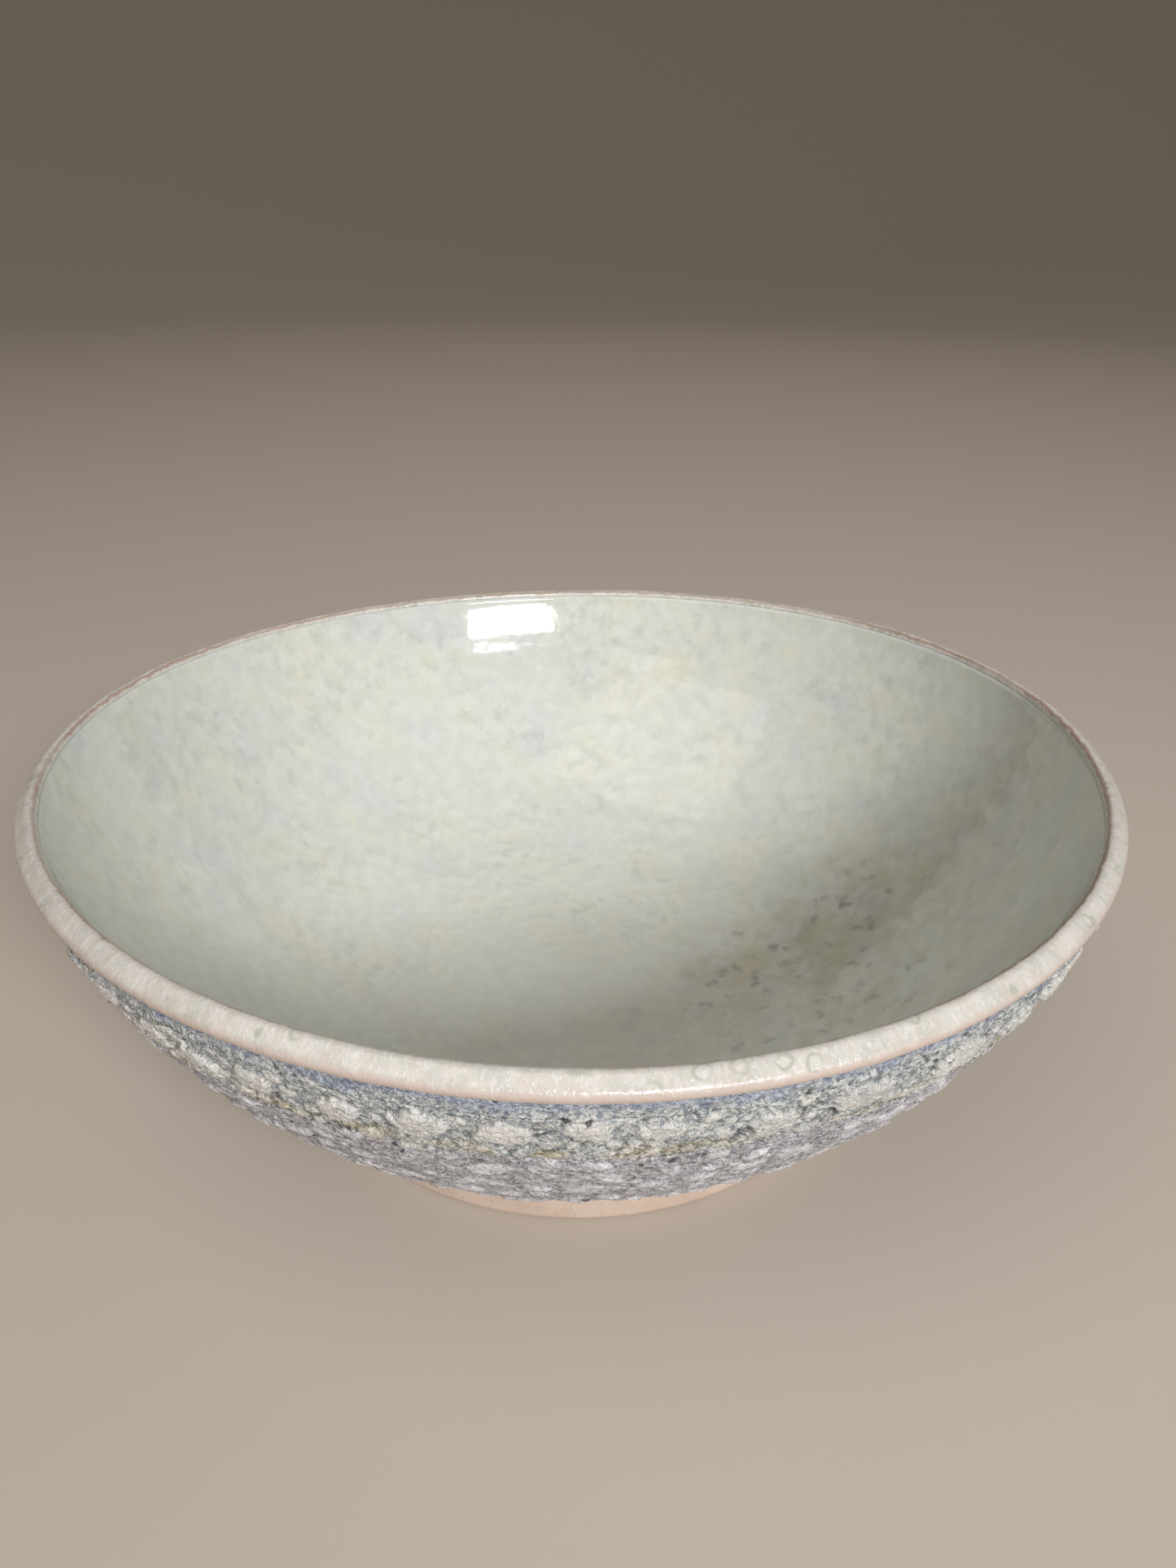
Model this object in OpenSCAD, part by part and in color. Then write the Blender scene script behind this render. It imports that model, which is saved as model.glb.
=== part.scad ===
/* [Bowl] */
// Diameter over the widest part of the rim, mm
rim_d = 310; // [280:1:340]
// Height from the table to the crest of the rim, mm
bowl_h = 106; // [100:1:116]
// Radius of the arc that the glazed outside follows, mm
wall_curve_r = 147.5; // [145:0.5:150]
// Height of the clay floor inside the bowl, mm
floor_h = 12.5; // [11:0.5:16]

/* [Foot] */
// Diameter over the bottom edge of the foot ring, mm
foot_d = 179; // [172:1:190]
// Radius inside the foot ring, mm
foot_bore_r = 80; // [76:0.5:82]
// Height of the foot ring, mm
foot_h = 15.5; // [14:0.5:17]
// Depth of the hollow turned out under the floor, mm
recess_h = 6; // [4:0.5:8]
// Rounding of the foot's two bottom edges, mm
foot_round_r = 1.5; // [0.5:0.1:2]

/* [Rim] */
// Rounding of the inner edge of the glazed lip, mm
lip_in_r = 2; // [1.5:0.1:2.5]
// Rounding of the outer edge of the glazed lip, mm
lip_out_r = 2.2; // [2:0.1:2.4]
// Width of the lip between its two roundings, mm
lip_w = 1.8; // [1.4:0.1:3]
// Fall of the lip's top from its inner rounding to its outer one, mm
lip_fall = 1.8; // [1:0.1:2]
// Height of the glossy rim band, down from the crest, mm
rim_band_h = 5.7; // [5.5:0.1:7]

/* [Glazes] */
// Thickness of the smooth glaze on the inside and the rim, mm
liner_t = 0.8; // [0.5:0.1:1]
// Thickness of the blue-grey band under the rim, mm
blue_t = 1.4; // [1:0.1:1.6]
// Thickness of the blistered crater crust, mm
crater_t = 2.4; // [1.8:0.1:3]
// Height of the blue-grey band, mm
blue_band_h = 6; // [4:0.5:8]
// Height of the upper crater band, down to the seam between the two crusts, mm
crater_band_h = 16.5; // [12:0.5:20]

/* [Hidden] */
$fn = 96;

// How the inside curve bends: a small radial power gives a flat floor and a steep wall
radial_power = 0.6;
height_power = 1.74;
inside_steps = 44;
// Degrees of arc for each step round the wall and round the small lip and foot edges
wall_step_deg = 1.6;
edge_step_deg = 15;

rim_r = rim_d / 2;
// Centres of the two roundings of the lip, as [radius, height]
lip_out_c = [rim_r - lip_out_r, bowl_h - lip_in_r - lip_fall];
lip_in_c = [lip_out_c[0] - lip_w, bowl_h - lip_in_r];
// Direction square to the flat between the two roundings
lip_flat_deg = acos((lip_in_r - lip_out_r) / norm([lip_w, lip_fall])) - atan(lip_fall / lip_w);
// The bare clay starts and ends the lip here
lip_clay_end_deg = -75;
lip_glaze_end_deg = -60;

// The clay arc lies under the crust, and its centre puts the rim band's lower edge in place
clay_curve_r = wall_curve_r - crater_t;
band_edge = [rim_r - 0.9, bowl_h - rim_band_h];
curve_x = 12;
curve_c = [curve_x, band_edge[1] + sqrt(pow(wall_curve_r, 2) - pow(band_edge[0] - curve_x, 2))];

// Angles below level, about the arc's centre, where one coat ends and the next begins
rim_deg = wall_angle(band_edge[1]);
blue_deg = wall_angle(band_edge[1] - blue_band_h);
seam_deg = wall_angle(band_edge[1] - blue_band_h - crater_band_h);
foot_deg = asin((curve_c[1] - foot_h) / clay_curve_r);
// The crust thins out over the last few degrees above the foot
feather_deg = 3;

// Angle below level at which the glazed outside stands at height h
function wall_angle(h) = asin((curve_c[1] - h) / wall_curve_r);

// Point on the outside, at an angle below level and a coat's thickness above the clay
function wall_point(deg, coat) =
    curve_c + (clay_curve_r + coat) * [cos(deg), -sin(deg)];

// Points along the outside from one angle to another
function wall_arc(from, to, coat) =
    let (n = ceil(abs(to - from) / wall_step_deg))
    [for (i = [0:n]) wall_point(from + (to - from) * i / n, coat)];

// Points round a small rounding
function edge_arc(centre, radius, from, to) =
    let (n = ceil(abs(to - from) / edge_step_deg))
    [for (i = [0:n])
        let (deg = from + (to - from) * i / n)
        centre + radius * [cos(deg), sin(deg)]];

// The lip from its inner edge, over the crest and round the outer edge, less a coat
function lip_arc(less, end_deg) = concat(
    edge_arc(lip_in_c, lip_in_r - less, 180, lip_flat_deg),
    edge_arc(lip_out_c, lip_out_r - less, lip_flat_deg, end_deg));

// The inside from the middle of the floor up to the lip, raised by a coat
function inside_curve(coat) =
    let (
        reach = lip_in_c[0] - lip_in_r + liner_t - coat,
        rise = lip_in_c[1] - floor_h - coat)
    [for (i = [0:inside_steps])
        let (deg = 90 * i / inside_steps)
        [reach * pow(sin(deg), radial_power),
         floor_h + coat + rise * (1 - pow(cos(deg), height_power))]];

function backwards(points) = [for (i = [len(points) - 1:-1:0]) points[i]];

// A coat of one thickness between two angles of the outside
module wall_coat(from, to, coat) {
    rotate_extrude()
        polygon(concat(wall_arc(from, to, 0), backwards(wall_arc(from, to, coat))));
}

// Thrown clay wall and floor, rebated underneath to seat the foot ring. Its outside has a point
// wherever one coat ends and the next begins, so that the coats' edges meet it exactly.
module stoneware_wall() {
    color([0.78, 0.69, 0.62])
        rotate_extrude()
            polygon(concat(
                inside_curve(0),
                lip_arc(liner_t, lip_clay_end_deg),
                wall_arc(rim_deg, blue_deg, 0),
                wall_arc(blue_deg, seam_deg, 0),
                wall_arc(seam_deg, foot_deg - feather_deg, 0),
                [wall_point(foot_deg, 0),
                 [foot_bore_r, foot_h],
                 [foot_bore_r, recess_h],
                 [0, recess_h]]));
}

// Bare clay ring that the bowl stands on, flared a little towards the table
module foot_ring() {
    outer_c = [foot_d / 2 - foot_round_r, foot_round_r];
    inner_c = [foot_bore_r + foot_round_r, foot_round_r];
    color([0.82, 0.70, 0.62])
        rotate_extrude()
            polygon(concat(
                [[foot_bore_r, foot_h], wall_point(foot_deg, 0)],
                edge_arc(outer_c, foot_round_r, 0, -90),
                edge_arc(inner_c, foot_round_r, -90, -180)));
}

// Smooth pale glaze that lines the whole inside
module liner_glaze() {
    color([0.80, 0.81, 0.74])
        rotate_extrude()
            polygon(concat(inside_curve(0), backwards(inside_curve(liner_t))));
}

// Glossy cream glaze that wraps over the lip
module rim_glaze() {
    color([0.84, 0.82, 0.78])
        rotate_extrude()
            polygon(concat(
                lip_arc(0, lip_glaze_end_deg),
                [wall_point(rim_deg, blue_t), wall_point(rim_deg, 0)],
                backwards(lip_arc(liner_t, lip_clay_end_deg))));
}

// Thin granular blue-grey band below the rim
module blue_glaze_band() {
    color([0.58, 0.62, 0.68])
        wall_coat(rim_deg, blue_deg, blue_t);
}

// Greenish cream crust with large oval blisters
module crater_glaze_upper() {
    color([0.70, 0.71, 0.66])
        wall_coat(blue_deg, seam_deg, crater_t);
}

// Lilac-grey crust with flatter blisters, thinning out above the foot
module crater_glaze_lower() {
    color([0.68, 0.67, 0.70])
        rotate_extrude()
            polygon(concat(
                wall_arc(seam_deg, foot_deg - feather_deg, 0),
                [wall_point(foot_deg, 0)],
                backwards(wall_arc(seam_deg, foot_deg - feather_deg, crater_t))));
}

stoneware_wall();
foot_ring();
liner_glaze();
rim_glaze();
blue_glaze_band();
crater_glaze_upper();
crater_glaze_lower();
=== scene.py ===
"""Looks of a footed stoneware punch bowl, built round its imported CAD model. Lengths are in metres."""

import itertools
import math

import bmesh
import bpy
import numpy as np
from mathutils import Matrix, Vector


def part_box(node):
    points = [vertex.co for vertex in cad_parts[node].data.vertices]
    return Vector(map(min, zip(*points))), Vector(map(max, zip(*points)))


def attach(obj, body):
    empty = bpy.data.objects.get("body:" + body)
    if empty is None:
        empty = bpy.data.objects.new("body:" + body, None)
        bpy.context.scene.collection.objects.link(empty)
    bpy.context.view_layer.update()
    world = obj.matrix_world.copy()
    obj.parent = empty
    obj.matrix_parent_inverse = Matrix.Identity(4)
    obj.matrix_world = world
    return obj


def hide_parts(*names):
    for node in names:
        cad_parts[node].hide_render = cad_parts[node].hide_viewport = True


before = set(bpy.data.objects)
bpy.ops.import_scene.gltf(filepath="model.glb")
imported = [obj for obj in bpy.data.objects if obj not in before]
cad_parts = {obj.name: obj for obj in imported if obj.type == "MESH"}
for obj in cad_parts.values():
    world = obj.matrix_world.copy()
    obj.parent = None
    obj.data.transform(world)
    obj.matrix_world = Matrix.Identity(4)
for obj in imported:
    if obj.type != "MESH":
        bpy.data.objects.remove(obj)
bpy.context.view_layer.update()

MM = 0.001
rng = np.random.default_rng(7)

# ---------------------------------------------------------------- sizes taken from the frame

RIM_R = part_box("rim_glaze")[1].x
CREST_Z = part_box("rim_glaze")[1].z
FOOT_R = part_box("foot_ring")[1].x
FOOT_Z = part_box("foot_ring")[1].z
RECESS_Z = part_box("stoneware_wall")[0].z
LINER_FLOOR_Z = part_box("liner_glaze")[0].z

FOOT_BORE_R = 80 * MM
FOOT_ROUND_R = 1.5 * MM
LINER_T = 0.8 * MM
BLUE_T = 1.4 * MM
CRATER_T = 2.4 * MM

# The lip has a small rounding inside and a larger one outside, with a sloping flat between
LIP_IN_R = 2.0 * MM
LIP_OUT_R = 2.2 * MM
LIP_W = 1.8 * MM
LIP_FALL = 1.8 * MM
LIP_OUT_C = np.array([RIM_R - LIP_OUT_R, CREST_Z - LIP_IN_R - LIP_FALL])
LIP_IN_C = np.array([LIP_OUT_C[0] - LIP_W, CREST_Z - LIP_IN_R])

# Direction square to that flat, and how far round the outer edge the clay and the glaze reach
LIP_SLOPE = math.atan(LIP_FALL / LIP_W)
LIP_FLAT = math.acos((LIP_IN_R - LIP_OUT_R) / math.hypot(LIP_W, LIP_FALL)) - LIP_SLOPE
LIP_CLAY_END = math.radians(-75)
LIP_GLAZE_END = math.radians(-60)

# The outside follows one arc from the rim band's lower edge to the foot
WALL_R = 147.5 * MM
CLAY_R = WALL_R - CRATER_T
RIM_BAND_H = 5.7 * MM
RIM_TUCK = 0.9 * MM
BAND_EDGE = np.array([RIM_R - RIM_TUCK, CREST_Z - RIM_BAND_H])
WALL_X = 12 * MM
WALL_C = np.array([WALL_X, BAND_EDGE[1] + math.sqrt(WALL_R**2 - (BAND_EDGE[0] - WALL_X) ** 2)])
BLUE_BAND_H = 6 * MM
CRATER_BAND_H = 16.5 * MM


def wall_angle(height):
    """Angle below level at which the glazed outside stands at a height."""
    return math.asin((WALL_C[1] - height) / WALL_R)


RIM_A = wall_angle(BAND_EDGE[1])
BLUE_A = wall_angle(BAND_EDGE[1] - BLUE_BAND_H)
SEAM_A = wall_angle(BAND_EDGE[1] - BLUE_BAND_H - CRATER_BAND_H)
FOOT_A = math.asin((WALL_C[1] - FOOT_Z) / CLAY_R)

# How the inside curve bends, as in the CAD part
RADIAL_POWER = 0.6
HEIGHT_POWER = 1.74

# A hand-thrown bowl is never quite round or level: none of this at the foot, all of it at the rim.
# The rim rises and falls twice round the bowl, leans to one side, and is a share longer one way.
WARP = 2.1 * MM
WARP_AT = 0.29
TILT = 1.1 * MM
TILT_AT = -1.95
OVAL = 0.009
OVAL_AT = 0.68

# ---------------------------------------------------------------- noise for the relief


# Odd multipliers that spread seeds and lattice cells over all 64 bits
SEED_MIXER = 0x9E3779B97F4A7C15
CELL_MIXER = np.uint64(0xBF58476D1CE4E5B9)
ALL_BITS = 0xFFFFFFFFFFFFFFFF


def hashed(cells, seed):
    """A repeatable random number from 0 to 1 for each lattice cell."""
    h = np.full(cells.shape[:-1], seed * SEED_MIXER & ALL_BITS, np.uint64)
    for axis in range(3):
        h = (h ^ cells[..., axis].astype(np.uint64)) * CELL_MIXER
        h ^= h >> np.uint64(29)
    return (h >> np.uint64(11)).astype(float) / 2.0**53


def lattice(points, cell, seed):
    """Smooth noise from -1 to 1 with bumps about one cell across."""
    scaled = points / cell
    base = np.floor(scaled).astype(np.int64)
    part = scaled - base
    part = part * part * (3 - 2 * part)
    total = np.zeros(points.shape[:-1])
    for corner in itertools.product((0, 1), repeat=3):
        weight = np.ones(points.shape[:-1])
        for axis in range(3):
            weight = weight * (part[..., axis] if corner[axis] else 1 - part[..., axis])
        total += weight * hashed(base + np.array(corner), seed)
    return total * 2 - 1


def grains(points, cell, seed):
    """Distance in cells to the nearest of many scattered points: low on a grain, high between."""
    scaled = points / cell
    base = np.floor(scaled).astype(np.int64)
    nearest = np.full(points.shape[:-1], 9.0)
    for corner in itertools.product((-1, 0, 1), repeat=3):
        near = base + np.array(corner)
        spot = near + np.stack([hashed(near, seed + k) for k in range(3)], -1)
        nearest = np.minimum(nearest, ((spot - scaled) ** 2).sum(-1))
    return np.sqrt(nearest)


def smooth(low, high, value):
    """0 below low, 1 above high, and a soft step between."""
    t = np.clip((value - low) / (high - low), 0, 1)
    return t * t * (3 - 2 * t)


# ---------------------------------------------------------------- turning a section into a mesh


def thrown(radius, angle, height):
    """Points of the bowl with its slight hand-thrown unevenness."""
    up = np.clip(height / CREST_Z, 0, 1)
    radius = radius * (1 + OVAL * up * np.cos(2 * (angle - OVAL_AT)))
    uneven = WARP * np.cos(2 * (angle - WARP_AT)) + TILT * np.cos(angle - TILT_AT)
    height = height + up**2 * uneven
    return np.stack([radius * np.cos(angle), radius * np.sin(angle), height], -1)


def columns_of(count):
    """The angles of the columns round the axis."""
    return np.arange(count) * 2 * math.pi / count


def revolved(name, section, closed=True, attributes=None):
    """A closed mesh from a section of rows x columns x (radius, height).

    closed joins the last row to the first; otherwise both end rows close on the axis."""
    rows, count = section.shape[:2]
    points = thrown(section[..., 0], columns_of(count)[None, :], section[..., 1]).reshape(-1, 3)
    row = np.arange(rows if closed else rows - 1)[:, None] * count
    col = np.arange(count)[None, :]
    after = (col + 1) % count
    below = (row + count) % (rows * count)
    quads = np.stack([row + col, row + after, below + after, below + col], -1).reshape(-1, 4)
    faces = quads.tolist()
    if not closed:
        ends = [[0, 0, section[0, :, 1].mean()], [0, 0, section[-1, :, 1].mean()]]
        first = len(points)
        points = np.concatenate([points, ends])
        last_row = (rows - 1) * count
        faces += [[i, first, (i + 1) % count] for i in range(count)]
        faces += [[last_row + i, last_row + (i + 1) % count, first + 1] for i in range(count)]
    mesh = bpy.data.meshes.new(name)
    mesh.from_pydata(points.tolist(), [], faces)
    for label, values in (attributes or {}).items():
        layer = mesh.attributes.new(label, "FLOAT", "POINT")
        padded = np.zeros(len(points), np.float32)
        padded[: values.size] = values.reshape(-1)
        layer.data.foreach_set("value", padded)
    shape = bmesh.new()
    shape.from_mesh(mesh)
    bmesh.ops.recalc_face_normals(shape, faces=shape.faces)
    shape.to_mesh(mesh)
    shape.free()
    mesh.shade_smooth()
    piece = bpy.data.objects.new(name, mesh)
    bpy.context.scene.collection.objects.link(piece)
    return piece


def turned(curve, count):
    """Where the points of a curve lie once turned round the axis: rows x columns x 3."""
    turn = columns_of(count)[None, :]
    radius = curve[:, :1]
    height = np.repeat(curve[:, 1:], count, 1)
    return np.stack([radius * np.cos(turn), radius * np.sin(turn), height], -1)


def spread(curve, count):
    """A curve of points, the same at every column."""
    return np.repeat(np.asarray(curve)[:, None, :], count, axis=1)


def pushed(curve, lift):
    """A curve of points pushed out along its left-hand normal by lift, rows x columns."""
    curve = np.asarray(curve)
    along = np.gradient(curve, axis=0)
    along /= np.linalg.norm(along, axis=1, keepdims=True)
    normal = np.stack([-along[:, 1], along[:, 0]], -1)
    return curve[:, None, :] + normal[:, None, :] * lift[..., None]


def evenly(curve, count):
    """count points at equal distances along a curve."""
    curve = np.asarray(curve)
    steps = np.linalg.norm(np.diff(curve, axis=0), axis=1)
    along = np.concatenate([[0], np.cumsum(steps)])
    at = np.linspace(0, along[-1], count)
    return np.stack([np.interp(at, along, curve[:, k]) for k in range(2)], -1)


def arc(centre, radius, start, end, count=24):
    """Points round a small rounding."""
    angle = np.linspace(start, end, count)
    return centre + radius * np.stack([np.cos(angle), np.sin(angle)], -1)


def inside_curve(coat, count=400):
    """The inside from the middle of the floor to the lip, raised by a coat."""
    angle = np.linspace(0, math.pi / 2, count)
    reach = LIP_IN_C[0] - LIP_IN_R + LINER_T - coat
    floor = LINER_FLOOR_Z + coat
    rise = LIP_IN_C[1] - floor
    radius = reach * np.sin(angle) ** RADIAL_POWER
    height = floor + rise * (1 - np.cos(angle) ** HEIGHT_POWER)
    return np.stack([radius, height], -1)


def lip_curve(less, end):
    """From the lip's inner edge, over the crest and round the outer edge, less a coat."""
    inner = arc(LIP_IN_C, LIP_IN_R - less, math.pi, LIP_FLAT)
    outer = arc(LIP_OUT_C, LIP_OUT_R - less, LIP_FLAT, end)
    return np.concatenate([inner, outer])


def wall_points(angles, lift):
    """Points on the outside: rows of angles below level, and a lift above the clay."""
    reach = CLAY_R + lift
    return np.stack([WALL_C[0] + reach * np.cos(angles), WALL_C[1] - reach * np.sin(angles)], -1)


# ---------------------------------------------------------------- the crater crust's relief

# Zones of blisters: how far down the wall they lie, their radius and height, all in mm, how many
# are tried, and how far apart two must be as a share of their two radii together
BLISTER_ZONES = [
    {"down": (8.5, 14.0), "radius": (3.6, 6.2), "height": (0.9, 1.4), "tries": 1500, "gap": 1.5},
    {"down": (8.0, 21.0), "radius": (1.2, 2.4), "height": (0.35, 0.7), "tries": 700, "gap": 1.25},
    {"down": (18.0, 112.0), "radius": (2.0, 4.2), "height": (0.4, 0.85), "tries": 2600, "gap": 1.6},
    {"down": (18.0, 113.0), "radius": (0.8, 1.7), "height": (0.2, 0.45), "tries": 3600, "gap": 1.3},
]
# Share of the blisters that have burst and left a pit
BURST_SHARE = 0.09

# Noise near the seam is squeezed this many times down the wall, so that it lies in layers
LAYER_SQUEEZE = 6.5
SEAM_SPREAD = 6.5 * MM

# Where the crust ends above the foot, it thins out over a short way to this thickness, and
# nowhere is it thinner than the least
CRUST_END_W = 6 * MM
CRUST_END_T = 0.25 * MM
LEAST_T = 0.2 * MM


def wall_spot(down, angle):
    """Where a point of the outside lies in space, from its distance down the wall."""
    below = RIM_A + down / WALL_R
    radius = WALL_C[0] + WALL_R * np.cos(below)
    height = WALL_C[1] - WALL_R * np.sin(below)
    across = radius * np.cos(angle)
    return np.stack([across, radius * np.sin(angle), height + 0 * across], -1)


def scattered_blisters():
    """Blisters strewn over the outside, none much over another."""
    kept = []
    spots = np.zeros((0, 3))
    sizes = np.zeros(0)
    for zone in BLISTER_ZONES:
        for _ in range(zone["tries"]):
            down = rng.uniform(*zone["down"]) * MM
            angle = rng.uniform(0, 2 * math.pi)
            low, high = zone["radius"]
            size = (low + (high - low) * rng.random() ** 1.6) * MM
            height = rng.uniform(*zone["height"]) * MM
            # How many times longer than wide, its tilt, and a draw that says whether it has burst
            shape = (rng.uniform(1.0, 1.8), rng.uniform(-0.35, 0.35), rng.random())
            spot = wall_spot(down, angle)
            # Fewer are kept where the bowl is narrower, so that they lie equally dense all over
            width = math.hypot(spot[0], spot[1])
            if rng.random() > width / RIM_R:
                continue
            if len(sizes):
                apart = np.linalg.norm(spots - spot, axis=1)
                if (apart < zone["gap"] * (sizes + size)).any():
                    continue
            kept.append((down, angle, size, height, *shape))
            spots = np.concatenate([spots, spot[None]])
            sizes = np.append(sizes, size)
    return kept


BLISTERS = scattered_blisters()


def blister_fields(down, ragged):
    """Height of the blisters, and masks of their tops, the moats round them and burst pits.

    down is each row's distance down the wall, and ragged is noise on the same rows and columns."""
    rows, count = ragged.shape
    dome = np.zeros((rows, count))
    top = np.zeros((rows, count))
    moat = np.zeros((rows, count))
    pit = np.zeros((rows, count))
    row_step = (down[-1] - down[0]) / (rows - 1)
    for where, at, size, height, long, tilt, kind in BLISTERS:
        reach = size * long * 1.6
        if where + reach < down[0] or where - reach > down[-1]:
            continue
        radius = WALL_C[0] + WALL_R * math.cos(RIM_A + where / WALL_R)
        wide = int(reach / (radius * 2 * math.pi / count)) + 1
        tall = int(reach / row_step) + 1
        middle = round((where - down[0]) / row_step)
        i = np.arange(max(0, middle - tall), min(rows, middle + tall + 1))
        j = np.arange(-wide, wide + 1) + round(at / (2 * math.pi) * count)
        if not len(i):
            continue
        across = (j * 2 * math.pi / count - at)[None, :] * radius
        along = (down[i] - where)[:, None]
        j = j % count
        window = np.ix_(i, j)
        x = across * math.cos(tilt) + along * math.sin(tilt)
        y = along * math.cos(tilt) - across * math.sin(tilt)
        q = np.hypot(x / (size * long), y / size) * (1 + 0.42 * ragged[window])
        raised = height * (1 - smooth(0.74, 1.0, q)) * (1 - 0.16 * np.minimum(q, 1) ** 2)
        if kind < BURST_SHARE:
            aside = np.hypot(x / (size * long) - 0.25, y / (size * 0.6) + 0.2)
            aside = aside * (1 + 0.6 * ragged[window])
            hollow = 1 - smooth(0.16, 0.36, aside)
            dome[window] = raised * (1 - 0.2 * hollow) - hollow * 1.5 * height
            pit[window] = np.maximum(pit[window], 1 - smooth(0.14, 0.34, aside))
        else:
            dome[window] = np.maximum(dome[window], raised)
        top[window] = np.maximum(top[window], 1 - smooth(0.84, 1.0, q))
        ring = np.exp(-(((q - 1.08) / 0.12) ** 2))
        moat[window] = np.maximum(moat[window], ring)
    return dome, top, moat, pit


def crust_fields(start, end, rows, count):
    """Lift above the clay and the masks that colour the crust, on a grid of the outside."""
    angles = np.linspace(start, end, rows)
    down = (angles - RIM_A) * WALL_R
    spots = wall_spot(down[:, None], columns_of(count)[None, :])
    down_grid = np.repeat(down[:, None], count, 1)

    ragged = 0.6 * lattice(spots, 3.2 * MM, 11) + 0.55 * lattice(spots, 1.3 * MM, 12)
    dome, top, moat, pit = blister_fields(down, ragged)
    # A moat shows round only part of each blister
    moat *= smooth(-0.25, 0.35, lattice(spots, 6 * MM, 13))

    # Layers run round the bowl near the seam between the two crusts
    seam_down = (SEAM_A - RIM_A) * WALL_R
    flat = spots * np.array([1, 1, 0]) + np.array([0, 0, 1]) * down_grid[..., None] * LAYER_SQUEEZE
    layers = lattice(flat, 8 * MM, 21) + 0.6 * lattice(flat, 4 * MM, 22)
    near_seam = np.exp(-(((down_grid - seam_down) / SEAM_SPREAD) ** 2))

    # The crust begins under the blue band, and its surface is wormy, grainy and gently uneven
    crust = smooth(3.5 * MM, 7.5 * MM, down_grid + 1.8 * MM * lattice(spots, 5 * MM, 31))
    worm = 1 - np.abs(lattice(spots, 1.5 * MM, 41) + 0.5 * lattice(spots, 0.8 * MM, 42)) * 2.2
    grain = 0.55 - grains(spots, 1.3 * MM, 43)
    broad = lattice(spots, 6 * MM, 51)
    thin = 0.30 * MM + 0.15 * MM * smooth(20 * MM, 45 * MM, down_grid)
    thickness = BLUE_T + (CRATER_T - thin - BLUE_T) * crust
    lift = thickness + crust * (dome - 0.4 * MM * moat)
    lift += (0.10 + 0.17 * crust * (1 - 0.5 * top)) * MM * np.maximum(worm, -1.0)
    lift += (0.16 + 0.12 * crust) * MM * grain
    lift += crust * MM * (0.26 * broad + 0.36 * near_seam * layers * (1 - 0.7 * top))

    # The crust thins out to a ragged edge above the foot
    left = (FOOT_A - RIM_A) * WALL_R - down_grid
    edge = smooth(0, CRUST_END_W, left - 0.9 * MM * (1 + lattice(spots, 4 * MM, 61)))
    lift = CRUST_END_T + (lift - CRUST_END_T) * edge
    lift = np.maximum(lift, LEAST_T)

    relief = (lift - thickness * edge) / MM
    masks = {
        "down": down_grid / MM,
        "relief": relief,
        "top": top * crust,
        "pit": pit,
        "moat": moat * crust,
    }
    return angles, lift, masks


def crust_piece(name, start, end, rows, count, backing_rows=5):
    """One coat of the outside: a displaced face and a plain back against the clay."""
    angles, lift, masks = crust_fields(start, end, rows, count)
    face = wall_points(angles[:, None], lift)
    back = spread(wall_points(np.linspace(end, start, backing_rows), 0), count)
    section = np.concatenate([face, back])
    attributes = {}
    for label, values in masks.items():
        fill = np.full((backing_rows, count), values[-1].mean())
        attributes[label] = np.concatenate([values, fill])
    return revolved(name, section, attributes=attributes)


# ---------------------------------------------------------------- node graphs


def srgb(red, green, blue):
    """A linear colour from 0 to 255 display values."""

    def linear(value):
        value /= 255
        return value / 12.92 if value <= 0.04045 else ((value + 0.055) / 1.055) ** 2.4

    return (linear(red), linear(green), linear(blue), 1.0)


# The colour sockets of a Mix node share their names with its other sockets, so they go by number
MIX_COLOUR_A = 6
MIX_COLOUR_B = 7
MIX_COLOUR_OUT = 2


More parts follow.
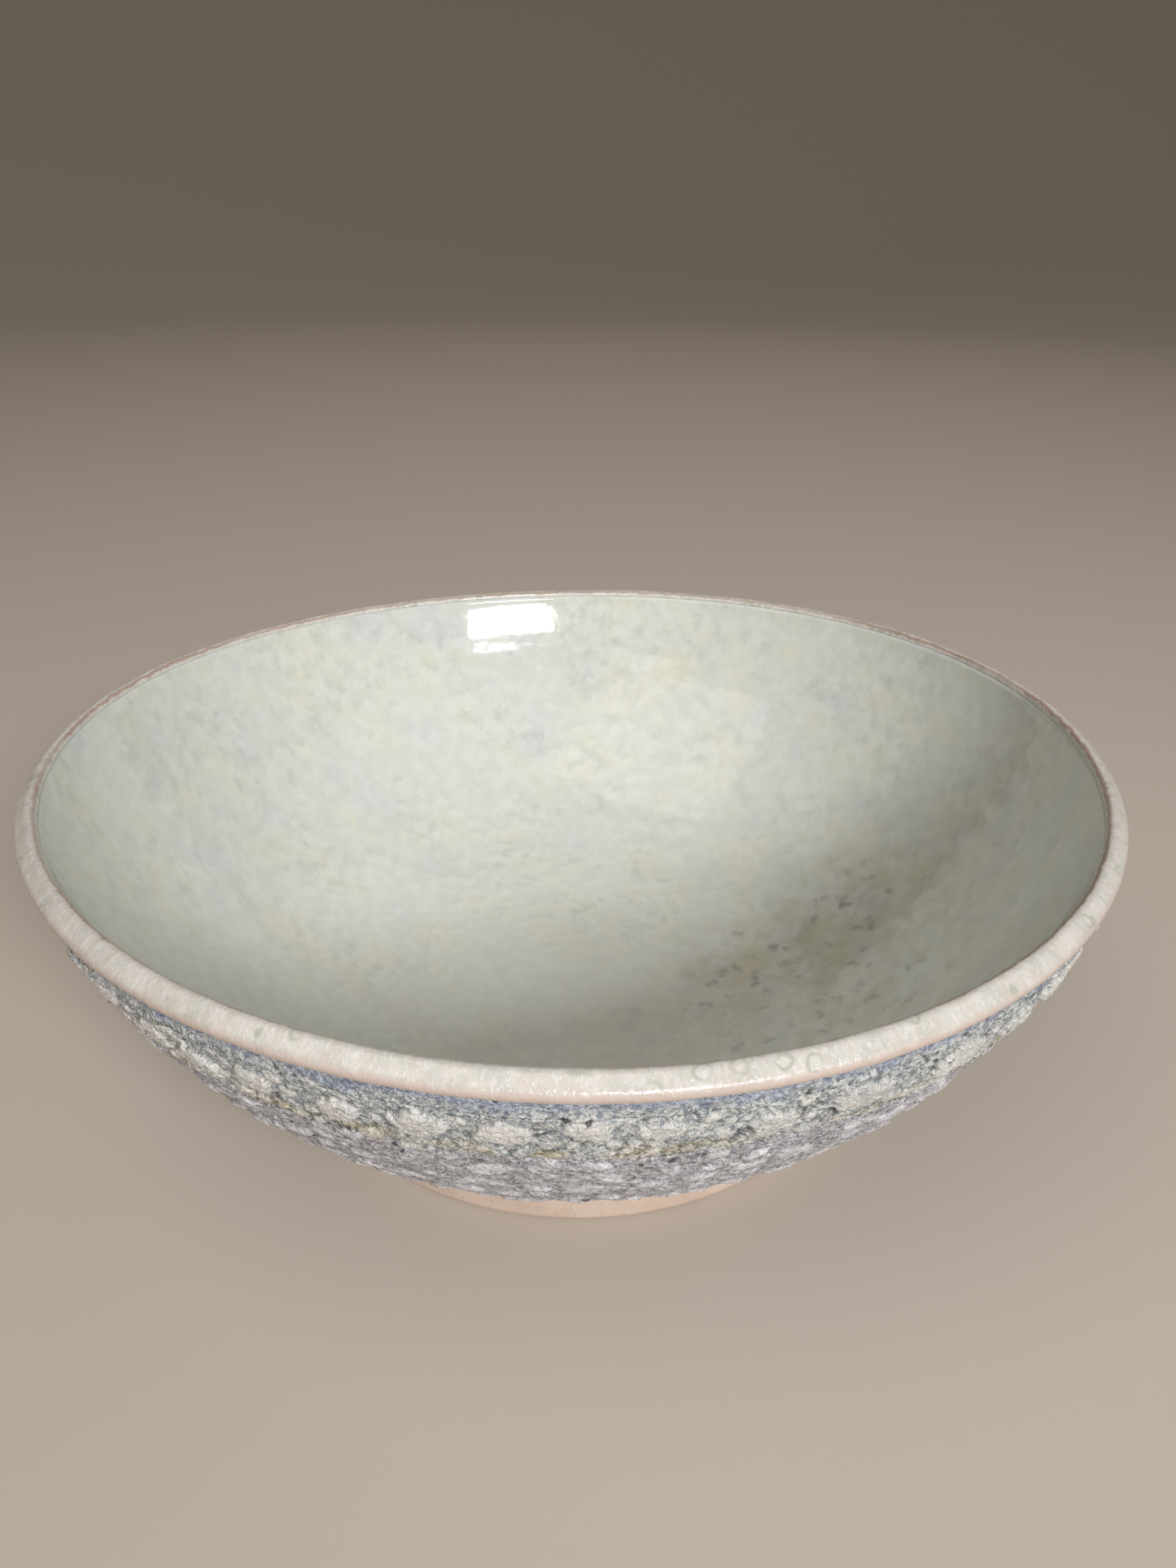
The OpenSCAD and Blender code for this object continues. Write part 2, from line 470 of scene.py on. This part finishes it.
class Graph:
    """A material with one Principled shader, and short names for the nodes that feed it.

    Sizes and depths are in metres."""

    def __init__(self, name, **constants):
        self.material = bpy.data.materials.new(name)
        self.material.use_nodes = True
        self.tree = self.material.node_tree
        self.shader = self.tree.nodes["Principled BSDF"]
        for socket, value in constants.items():
            self.shader.inputs[socket.replace("_", " ")].default_value = value
        self.place = self.tree.nodes.new("ShaderNodeTexCoord").outputs["Object"]

    def put(self, socket, value):
        """Links a socket, or sets a plain value."""
        if isinstance(value, bpy.types.NodeSocket):
            self.tree.links.new(value, socket)
        else:
            socket.default_value = value

    def mask(self, label):
        """A mask or measure stored on the mesh."""
        node = self.tree.nodes.new("ShaderNodeAttribute")
        node.attribute_name = label
        return node.outputs["Fac"]

    def noise(self, size, detail=3.0, rough=0.55, twist=0.0, place=None):
        """Cloudy noise from 0 to 1 with patches of about this size."""
        node = self.tree.nodes.new("ShaderNodeTexNoise")
        self.put(node.inputs["Vector"], place or self.place)
        node.inputs["Scale"].default_value = 1 / size
        node.inputs["Detail"].default_value = detail
        node.inputs["Roughness"].default_value = rough
        node.inputs["Distortion"].default_value = twist
        return node.outputs["Fac"]

    def cells(self, size, place=None):
        """Cells of about this size: distance to the nearest one's centre, as a share of the size."""
        node = self.tree.nodes.new("ShaderNodeTexVoronoi")
        self.put(node.inputs["Vector"], place or self.place)
        node.inputs["Scale"].default_value = 1 / size
        return node.outputs["Distance"]

    def vector(self, operation, *values, output="Vector"):
        """One step of vector maths; a plain value is a triple."""
        node = self.tree.nodes.new("ShaderNodeVectorMath")
        node.operation = operation
        for socket, value in zip(node.inputs, values):
            self.put(socket, value)
        return node.outputs[output]

    def away_from(self, spot):
        """Distance from a spot on the bowl."""
        return self.vector("DISTANCE", self.place, spot, output="Value")

    def maths(self, operation, a, b=0.0, c=0.0):
        """One step of maths on plain numbers or sockets."""
        node = self.tree.nodes.new("ShaderNodeMath")
        node.operation = operation
        for socket, value in zip(node.inputs, (a, b, c)):
            self.put(socket, value)
        return node.outputs[0]

    def step(self, value, low, high):
        """0 below low, 1 above high, with a soft step between; low may be the higher."""
        node = self.tree.nodes.new("ShaderNodeMapRange")
        node.interpolation_type = "SMOOTHSTEP"
        flip = low > high
        self.put(node.inputs["Value"], value)
        node.inputs["From Min"].default_value = min(low, high)
        node.inputs["From Max"].default_value = max(low, high)
        node.inputs["To Min"].default_value = 1.0 if flip else 0.0
        node.inputs["To Max"].default_value = 0.0 if flip else 1.0
        return node.outputs["Result"]

    def mix(self, share, a, b):
        """Colour a, turning into colour b where the share is 1."""
        node = self.tree.nodes.new("ShaderNodeMix")
        node.data_type = "RGBA"
        self.put(node.inputs["Factor"], share)
        self.put(node.inputs[MIX_COLOUR_A], a)
        self.put(node.inputs[MIX_COLOUR_B], b)
        return node.outputs[MIX_COLOUR_OUT]

    def over(self, colour, mask, strength, tint):
        """A colour with a tint laid over it through a mask, at most this strong."""
        return self.mix(self.maths("MULTIPLY", mask, strength), colour, tint)

    def bump(self, height, depth, strength, under=None):
        """Fine relief for the shader: height from 0 to 1 times a depth, over another bump."""
        node = self.tree.nodes.new("ShaderNodeBump")
        node.inputs["Strength"].default_value = strength
        node.inputs["Distance"].default_value = depth
        self.put(node.inputs["Height"], height)
        if under is not None:
            self.put(node.inputs["Normal"], under)
        return node.outputs["Normal"]

    def moved(self, place, amount, size):
        """The place, shaken by noise so that edges wander."""
        node = self.tree.nodes.new("ShaderNodeTexNoise")
        self.put(node.inputs["Vector"], place)
        node.inputs["Scale"].default_value = 1 / size
        centred = self.vector("SUBTRACT", node.outputs["Color"], (0.5, 0.5, 0.5))
        return self.vector("MULTIPLY_ADD", centred, (amount, amount, amount), place)

    def drawn_across(self, share):
        """The place with only a share of its change across the rim, so that noise streaks over it."""
        rest = RIM_R * (1 - share)
        level = self.vector("MULTIPLY", self.place, (1, 1, 0))
        ring = self.vector("MULTIPLY", self.vector("NORMALIZE", level), (rest, rest, rest))
        return self.vector("MULTIPLY_ADD", self.place, (share, share, share), ring)

    def finish(self, colour, rough, normal=None):
        """Feeds the shader and gives back the material."""
        self.put(self.shader.inputs["Base Color"], colour)
        self.put(self.shader.inputs["Roughness"], rough)
        if normal is not None:
            self.put(self.shader.inputs["Normal"], normal)
        return self.material


# ---------------------------------------------------------------- materials


GLAZE_IOR = 1.52
CRUST_IOR = 1.5
CLAY_IOR = 1.45

# The freckles crowd together low on the right of the inside
FRECKLES_AT = (0.082, -0.005, 0.03)

LINER_TINTS = {
    "grey": srgb(203, 207, 202),
    "ivory": srgb(208, 209, 199),
    "cool": srgb(198, 202, 201),
    "pale mottle": srgb(222, 225, 219),
    "dull mottle": srgb(170, 175, 168),
    "straw cloud": srgb(213, 212, 184),
    "yellowish glaze and painted reflection": srgb(186, 180, 152),
    "freckle": srgb(134, 137, 132),
}


def liner_material():
    """Glossy pale grey-green glaze with soft mottles, grey freckles and faint yellowish clouds, and low
    on the right a dull yellow-brown patch that is partly the glaze's own tint and partly painted
    reflection.
    """
    g = Graph("liner_glaze", IOR=GLAZE_IOR)
    tint = LINER_TINTS
    colour = g.mix(g.step(g.noise(0.030, 2), 0.35, 0.70), tint["grey"], tint["ivory"])
    colour = g.mix(g.step(g.noise(0.021, 3), 0.45, 0.75), colour, tint["cool"])
    pale = g.step(g.noise(0.0052, 3, 0.6), 0.36, 0.68)
    colour = g.over(colour, pale, 0.42, tint["pale mottle"])
    dull = g.step(g.noise(0.0054, 3, 0.55), 0.44, 0.74)
    where = g.step(g.noise(0.032, 2), 0.36, 0.62)
    colour = g.over(colour, g.maths("MULTIPLY", dull, where), 0.38, tint["dull mottle"])
    warm = g.step(g.noise(0.018, 3, 0.6, 0.4), 0.50, 0.72)
    colour = g.over(colour, warm, 0.34, tint["straw cloud"])

    near = g.step(g.away_from(FRECKLES_AT), 0.072, 0.018)
    # Low on the right, round the freckles' spot, a dull yellow-brown patch: partly the glaze's
    # yellowish tint, partly a painted reflection of a dark surround.
    glaze_and_painted_reflection = g.maths("MULTIPLY", near, g.step(g.noise(0.012, 2), 0.40, 0.62))
    colour = g.over(colour, glaze_and_painted_reflection, 0.45, tint["yellowish glaze and painted reflection"])
    dot = g.step(g.cells(0.0066, g.moved(g.place, 0.006, 0.005)), 0.52, 0.10)
    few = g.step(g.noise(0.010, 2), 0.44, 0.58)
    elsewhere = g.maths("MULTIPLY", g.step(g.noise(0.05, 1), 0.50, 0.62), 0.14)
    crowd = g.maths("MULTIPLY", few, g.maths("MULTIPLY_ADD", near, 0.60, elsewhere))
    colour = g.over(colour, dot, crowd, tint["freckle"])

    rough = g.maths("MULTIPLY_ADD", g.step(g.noise(0.012, 3), 0.2, 0.9), 0.05, 0.055)
    wave = g.bump(g.noise(0.009, 2), 0.00010, 0.5)
    wave = g.bump(g.noise(0.0034, 3), 0.00006, 0.6, wave)
    return g.finish(colour, rough, wave)


RIM_TINTS = {
    "cream": srgb(208, 205, 199),
    "grey": srgb(194, 193, 186),
    "pale streak": srgb(224, 221, 217),
    "pink streak": srgb(201, 184, 172),
    "ring mark": srgb(160, 167, 153),
    "lower edge": srgb(190, 170, 158),
    "crest line": srgb(160, 130, 113),
}


def rim_material():
    """Glossy pinkish cream glaze: fine streaks, faint rings, a brown crest and a peach lower edge."""
    g = Graph("rim_glaze", IOR=GLAZE_IOR)
    tint = RIM_TINTS
    colour = g.mix(g.step(g.noise(0.006, 3), 0.42, 0.66), tint["cream"], tint["grey"])
    drawn = g.drawn_across(0.5)
    streak = g.step(g.noise(0.0010, 4, 0.65, 0.5, drawn), 0.46, 0.60)
    colour = g.over(colour, streak, 0.45, tint["pale streak"])
    pink = g.step(g.noise(0.0024, 4, 0.65, 0.5, drawn), 0.48, 0.66)
    colour = g.over(colour, pink, 0.38, tint["pink streak"])

    distance = g.cells(0.0062, g.moved(g.place, 0.0018, 0.003))
    away = g.maths("ABSOLUTE", g.maths("SUBTRACT", distance, 0.27))
    shown = g.step(g.noise(0.018, 1), 0.46, 0.60)
    ring = g.maths("MULTIPLY", g.step(away, 0.11, 0.02), shown)
    colour = g.over(colour, ring, 0.60, tint["ring mark"])

    # How far across the rim, from 0 inside to 1 at the band's lower edge
    wander = g.maths("MULTIPLY_ADD", g.noise(0.004, 3), 0.16, -0.08)
    across = g.maths("ADD", g.mask("lip"), wander)
    peach = g.step(across, 0.54, 0.78)
    colour = g.over(colour, peach, 0.80, tint["lower edge"])
    crest = g.step(g.maths("ABSOLUTE", g.maths("SUBTRACT", across, 0.155)), 0.080, 0.02)
    broken = g.maths("MULTIPLY_ADD", g.step(g.noise(0.04, 1), 0.36, 0.60), 0.32, 0.46)
    colour = g.over(colour, crest, broken, tint["crest line"])

    rough = g.maths("MULTIPLY_ADD", peach, 0.22, 0.08)
    wave = g.bump(g.noise(0.0018, 3), 0.0003, 0.5)
    wave = g.bump(streak, 0.00008, 0.5, wave)
    return g.finish(colour, rough, wave)


CRUST_TINTS = {
    # zone: grains dark and pale, blister tops, hollows
    "blue": (srgb(128, 139, 162), srgb(185, 193, 206), srgb(204, 206, 208), srgb(86, 97, 122)),
    "teal": (srgb(144, 153, 160), srgb(214, 215, 212), srgb(228, 225, 220), srgb(66, 71, 75)),
    "seam": (srgb(146, 140, 118), srgb(206, 200, 180), srgb(224, 218, 208), srgb(84, 78, 62)),
    "lower": (srgb(154, 151, 157), srgb(210, 209, 215), srgb(236, 235, 239), srgb(66, 63, 66)),
}
DARK_GRAIN, PALE_GRAIN, BLISTER_TOP, HOLLOW = range(4)
SPECK_TINT = srgb(44, 42, 40)
PIT_TINT = srgb(40, 36, 34)

# How far down the wall, in mm, one zone fades into the next
BLUE_FADES = (2.0, 6.0)
SEAM_STARTS = (17.0, 20.0)
SEAM_ENDS = (21.5, 25.0)


def crust_material(name):
    """Rough crater glaze whose tints change down the wall, with pale tops and dark hollows."""
    g = Graph(name, IOR=CRUST_IOR)
    wander = g.maths("MULTIPLY_ADD", g.noise(0.006, 4), 9.0, -4.5)
    down = g.maths("ADD", g.mask("down"), wander)
    broken = g.step(g.noise(0.011, 3), 0.36, 0.58)
    zones = [
        ("teal", g.step(down, *BLUE_FADES)),
        ("seam", g.maths("MULTIPLY", g.step(down, *SEAM_STARTS), broken)),
        ("lower", g.step(down, *SEAM_ENDS)),
    ]

    def tint(layer):
        colour = CRUST_TINTS["blue"][layer]
        for zone, share in zones:
            colour = g.mix(share, colour, CRUST_TINTS[zone][layer])
        return colour

    hollow_tint = tint(HOLLOW)
    top = g.mask("top")
    fine = g.noise(0.0010, 4, 0.7)
    speckle = g.step(g.noise(0.0014, 4, 0.7, 0.5), 0.40, 0.56)
    colour = g.mix(speckle, tint(DARK_GRAIN), tint(PALE_GRAIN))

    patchy = g.maths("MULTIPLY_ADD", g.step(g.noise(0.0018, 4, 0.7), 0.38, 0.56), 0.45, 0.45)
    uneven = g.maths("MULTIPLY_ADD", g.step(g.noise(0.013, 2), 0.38, 0.58), 0.60, 0.55)
    colour = g.over(colour, top, g.maths("MULTIPLY", patchy, uneven), tint(BLISTER_TOP))
    shaken = g.maths("ADD", g.mask("relief"), g.maths("MULTIPLY_ADD", fine, 0.8, -0.4))
    colour = g.over(colour, g.step(shaken, 0.0, -0.5), 0.85, hollow_tint)
    lines = g.maths("MULTIPLY", g.mask("moat"), g.step(fine, 0.3, 0.6))
    colour = g.over(colour, lines, 0.72, hollow_tint)

    away = g.maths("ABSOLUTE", g.maths("SUBTRACT", g.noise(0.0030, 3, 0.6, 0.8), 0.5))
    crack = g.step(away, 0.022, 0.006)
    off_top = g.maths("MULTIPLY_ADD", top, -0.45, 0.50)
    colour = g.over(colour, crack, off_top, hollow_tint)
    rare = g.step(g.noise(0.012, 1), 0.46, 0.56)
    spot = g.cells(0.0052, g.moved(g.place, 0.0028, 0.002))
    speck = g.maths("MULTIPLY", g.step(spot, 0.19, 0.12), rare)
    colour = g.over(colour, speck, 0.85, SPECK_TINT)
    colour = g.mix(g.step(g.mask("pit"), 0.25, 0.75), colour, PIT_TINT)

    rough = g.maths("MULTIPLY_ADD", g.noise(0.002, 2), 0.3, 0.45)
    bumps = g.bump(g.noise(0.0020, 4, 0.65, 0.4), 0.0012, 0.8)
    bumps = g.bump(fine, 0.0009, 0.8, bumps)
    bumps = g.bump(crack, -0.0005, 0.7, bumps)
    return g.finish(colour, rough, bumps)


FOOT_TINTS = (srgb(198, 178, 163), srgb(187, 166, 150))
BODY_TINTS = (srgb(192, 170, 152), srgb(179, 157, 139))
DARK_GROG = srgb(142, 116, 94)
PALE_GROG = srgb(226, 212, 194)


def clay_material(name, tints, ring_gap):
    """Bare fired clay: fine grog specks, faint turning lines and a slightly sandy surface."""
    g = Graph(name, IOR=CLAY_IOR)
    colour = g.mix(g.step(g.noise(0.016, 3), 0.35, 0.70), *tints)
    colour = g.over(colour, g.step(g.cells(0.0023), 0.16, 0.08), 0.45, DARK_GROG)
    colour = g.over(colour, g.step(g.cells(0.0017), 0.14, 0.06), 0.35, PALE_GROG)
    # Noise stretched round the bowl gives turning lines
    stretched = g.vector("MULTIPLY", g.place, (0.05, 0.05, 1.0))
    lines = g.bump(g.noise(ring_gap, 2, place=stretched), 0.00025, 0.5)
    sand = g.bump(g.noise(0.0006, 3), 0.00025, 0.6, lines)
    rough = g.maths("MULTIPLY_ADD", g.noise(0.005, 2), 0.15, 0.66)
    return g.finish(colour, rough, sand)


# ---------------------------------------------------------------- pieces


def dress(piece, node, material):
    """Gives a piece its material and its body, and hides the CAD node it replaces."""
    piece.data.materials.append(material)
    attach(piece, "root")
    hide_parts(node)
    return piece


# Rings that the thrower's fingers left up the inside
THROWING_RINGS = 17
THROWING_RING_H = 0.035 * MM


def make_liner():
    """The smooth glaze inside, with faint throwing rings that fade out at the floor and the lip."""
    count = 640
    rows = 128
    face = evenly(inside_curve(LINER_T), rows + 1)[1:]
    spots = turned(face, count)
    along = np.linspace(0, 1, rows)[:, None]
    rings = np.sin(along * 2 * math.pi * THROWING_RINGS + 2.2 * lattice(spots, 60 * MM, 71))
    lift = THROWING_RING_H * rings * smooth(0.25, 0.6, along) * (1 - smooth(0.93, 1.0, along))
    lift = lift + 0.10 * MM * lattice(spots, 30 * MM, 72) * (1 - smooth(0.9, 1.0, along))
    back = spread(evenly(inside_curve(0), 25)[1:][::-1], count)
    section = np.concatenate([pushed(face, lift), back])
    piece = revolved("liner_glaze_skin", section, closed=False)
    return dress(piece, "liner_glaze", liner_material())


def make_rim():
    """The glaze roll over the lip, a little wavy, with tiny beads along its inner edge."""
    count = 2250
    rows = 34
    backing_rows = 10
    face_end = wall_points(np.array([RIM_A]), BLUE_T)
    face = evenly(np.concatenate([lip_curve(0, LIP_GLAZE_END), face_end]), rows)
    spots = turned(face, count)
    across = np.repeat(np.linspace(0, 1, rows)[:, None], count, 1)
    middle = smooth(0, 0.12, across) * (1 - smooth(0.88, 1, across))
    lift = middle * MM * (0.16 * lattice(spots, 12 * MM, 81) + 0.05 * lattice(spots, 3 * MM, 82))
    beaded = np.exp(-(((across - 0.12) / 0.05) ** 2))
    beads = smooth(0.55, 0.8, lattice(spots, 0.9 * MM, 83)) * beaded
    lift = lift + 0.16 * MM * beads
    back_end = wall_points(np.array([RIM_A]), 0)
    back_curve = np.concatenate([lip_curve(LINER_T, LIP_CLAY_END), back_end])
    back = spread(evenly(back_curve, backing_rows)[::-1], count)
    section = np.concatenate([pushed(face, lift), back])
    lip = np.concatenate([across, np.full((backing_rows, count), 0.5)])
    piece = revolved("rim_glaze_roll", section, attributes={"lip": lip})
    return dress(piece, "rim_glaze", rim_material())


def make_outside():
    """The blue-grey band and the two crater crusts, each with its rows and columns of points."""
    plans = [
        ("blue_band_skin", "blue_glaze_band", "blue_glaze", RIM_A, BLUE_A, 16, 2000),
        ("crater_upper_crust", "crater_glaze_upper", "crater_glaze_upper", BLUE_A, SEAM_A, 40, 2000),
        ("crater_lower_crust", "crater_glaze_lower", "crater_glaze_lower", SEAM_A, FOOT_A, 98, 950),
    ]
    for name, node, slot, start, end, rows, count in plans:
        piece = crust_piece(name, start, end, rows, count)
        dress(piece, node, crust_material(slot))


# Gaps between turning lines on the side of the foot and under the floor
FOOT_LINE_GAP = 1.3 * MM
FLOOR_LINE_GAP = 3.4 * MM


def make_foot():
    """The bare foot ring, faintly lined and not quite round on its outside."""
    count = 512
    top = wall_points(np.array([FOOT_A]), 0)
    outer_c = np.array([FOOT_R - FOOT_ROUND_R, FOOT_ROUND_R])
    inner_c = np.array([FOOT_BORE_R + FOOT_ROUND_R, FOOT_ROUND_R])
    outer = arc(outer_c, FOOT_ROUND_R, 0, -math.pi / 2, 10)
    inner = arc(inner_c, FOOT_ROUND_R, -math.pi / 2, -math.pi, 10)
    wall = evenly(np.concatenate([top, outer[:1]]), 24)
    rest = evenly(np.concatenate([outer[-1:], inner[:1]]), 8)
    bore = evenly(np.array([inner[-1], [FOOT_BORE_R, FOOT_Z]]), 10)
    curve = np.concatenate([wall, outer[1:-1], rest, inner[1:-1], bore])
    section = spread(curve, count)
    turn = columns_of(count)
    wobble = lattice(np.stack([np.cos(turn), np.sin(turn), turn * 0], -1), 0.5, 91)
    height = section[..., 1]
    lines = 0.05 * MM * np.sin(height / FOOT_LINE_GAP * 2 * math.pi)
    outward = smooth(0.0, 2 * MM, height) * (1 - smooth(FOOT_Z - 1 * MM, FOOT_Z, height))
    section[..., 0] += outward * (lines + 0.15 * MM * wobble[None, :])
    piece = revolved("foot_ring_clay", section)
    material = clay_material("foot_clay", FOOT_TINTS, 0.0011)
    return dress(piece, "foot_ring", material)


def make_clay():
    """The thrown clay wall. Only its underside shows, turned hollow inside the foot ring."""
    count = 384
    outside = wall_points(np.linspace(RIM_A, FOOT_A, 40), 0)
    under_r = np.linspace(FOOT_BORE_R, 0, 82)[:-1]
    lines = np.sin(under_r / FLOOR_LINE_GAP * 2 * math.pi)
    spiral = 0.12 * MM * lines * smooth(0, 5 * MM, FOOT_BORE_R - under_r)
    under = np.stack([under_r, RECESS_Z + spiral], -1)
    curve = np.concatenate([
        evenly(inside_curve(0), 50)[1:],
        lip_curve(LINER_T, LIP_CLAY_END)[1:],
        outside,
        [[FOOT_BORE_R, FOOT_Z]],
        under,
    ])
    piece = revolved("clay_body", spread(curve, count), closed=False)
    material = clay_material("stoneware_clay", BODY_TINTS, 0.0015)
    return dress(piece, "stoneware_wall", material)


make_liner()
make_rim()
make_outside()
make_foot()
make_clay()

# ---------------------------------------------------------------- studio


FLOOR_TINT = srgb(198, 188, 176)


def make_stage():
    """A round pale floor that curves up slowly into a wall, with no edge between the two."""
    flat = 2.4
    bend = 2.6
    height = 4.6
    rise = np.linspace(0.06, math.pi / 2, 24)
    curve = [[0.05, 0], [0.6, 0], [flat, 0]]
    curve += np.stack([flat + bend * np.sin(rise), bend - bend * np.cos(rise)], -1).tolist()
    curve += [[flat + bend, height]]
    count = 96
    turn = columns_of(count)
    points = [[0, 0, 0]]
    for radius, level in curve:
        points += [[radius * math.cos(t), radius * math.sin(t), level] for t in turn]
    faces = [[0, 1 + i, 1 + (i + 1) % count] for i in range(count)]
    for row in range(len(curve) - 1):
        first = 1 + row * count
        after = first + count
        for i in range(count):
            j = (i + 1) % count
            faces.append([first + i, after + i, after + j, first + j])
    mesh = bpy.data.meshes.new("studio_floor")
    mesh.from_pydata(points, [], faces)
    mesh.shade_smooth()
    floor = bpy.data.objects.new("studio_floor", mesh)
    bpy.context.scene.collection.objects.link(floor)
    g = Graph("studio_floor")
    mesh.materials.append(g.finish(FLOOR_TINT, 0.6))


WHITE_LIGHT = (1.0, 1.0, 1.0)
WARM_LIGHT = (1.0, 0.94, 0.86)
ROOM_LIGHT = (1.0, 0.90, 0.80, 1.0)
ROOM_STRENGTH = 0.15

# Each light's direction is an azimuth from +Y towards +X and an elevation, in degrees: behind the
# camera is 180. Its distance and size are in metres, its power in watts, and its beam in degrees.
LIGHT_DISTANCE = 2.4
LIGHTS = [
    {"name": "window", "from": (158, 28.5), "size": (0.85, 0.51), "power": 25.5,
     "colour": WHITE_LIGHT, "beam": 124},
    {"name": "overhead", "from": (222, 62), "size": (1.75, 1.75), "power": 13,
     "colour": WARM_LIGHT, "beam": 180},
    {"name": "back_fill", "from": (12, 40), "size": (2.0, 1.4), "power": 4,
     "colour": WARM_LIGHT, "beam": 180},
]


def area_light(plan):
    """A rectangular soft light that faces the bowl."""
    lamp = bpy.data.lights.new(plan["name"], "AREA")
    lamp.shape = "RECTANGLE"
    lamp.size, lamp.size_y = plan["size"]
    lamp.energy = plan["power"]
    lamp.color = plan["colour"]
    lamp.spread = math.radians(plan["beam"])
    holder = bpy.data.objects.new(plan["name"], lamp)
    azimuth, elevation = (math.radians(v) for v in plan["from"])
    level = math.cos(elevation)
    towards = Vector((math.sin(azimuth) * level, math.cos(azimuth) * level, math.sin(elevation)))
    target = Vector((0, 0, CREST_Z * 0.7))
    holder.location = target + towards * LIGHT_DISTANCE
    holder.rotation_euler = towards.to_track_quat("Z", "Y").to_euler()
    bpy.context.scene.collection.objects.link(holder)


def make_lights():
    """The three lights, and the faint light of the room all round."""
    for plan in LIGHTS:
        area_light(plan)
    world = bpy.data.worlds.new("studio")
    world.use_nodes = True
    back = world.node_tree.nodes["Background"]
    back.inputs["Color"].default_value = ROOM_LIGHT
    back.inputs["Strength"].default_value = ROOM_STRENGTH
    bpy.context.scene.world = world


def make_camera():
    """The photograph's viewpoint: a sensor 36 mm long, a lens in mm, and angles in radians."""
    # From the bowl's axis and above the rim's level, in units of the rim's radius
    away = 2.0854
    above = 0.9484
    pitch = 0.4694
    yaw = 0.0091
    roll = 0.015
    camera = bpy.data.cameras.new("camera")
    camera.sensor_width = 36
    camera.lens = 27.014011
    camera.clip_start = 0.01
    holder = bpy.data.objects.new("camera", camera)
    flat = math.cos(pitch)
    forward = Vector((math.sin(yaw) * flat, math.cos(yaw) * flat, -math.sin(pitch)))
    level = Vector((math.cos(yaw), -math.sin(yaw), 0))
    upright = level.cross(forward)
    right = math.cos(roll) * level + math.sin(roll) * upright
    up = math.cos(roll) * upright - math.sin(roll) * level
    turn = Matrix((right, up, -forward)).transposed().to_4x4()
    holder.matrix_world = Matrix.Translation((0, -away * RIM_R, CREST_Z + above * RIM_R)) @ turn
    bpy.context.scene.collection.objects.link(holder)
    bpy.context.scene.camera = holder


make_stage()
make_lights()
make_camera()
bpy.context.scene.view_settings.view_transform = "Standard"
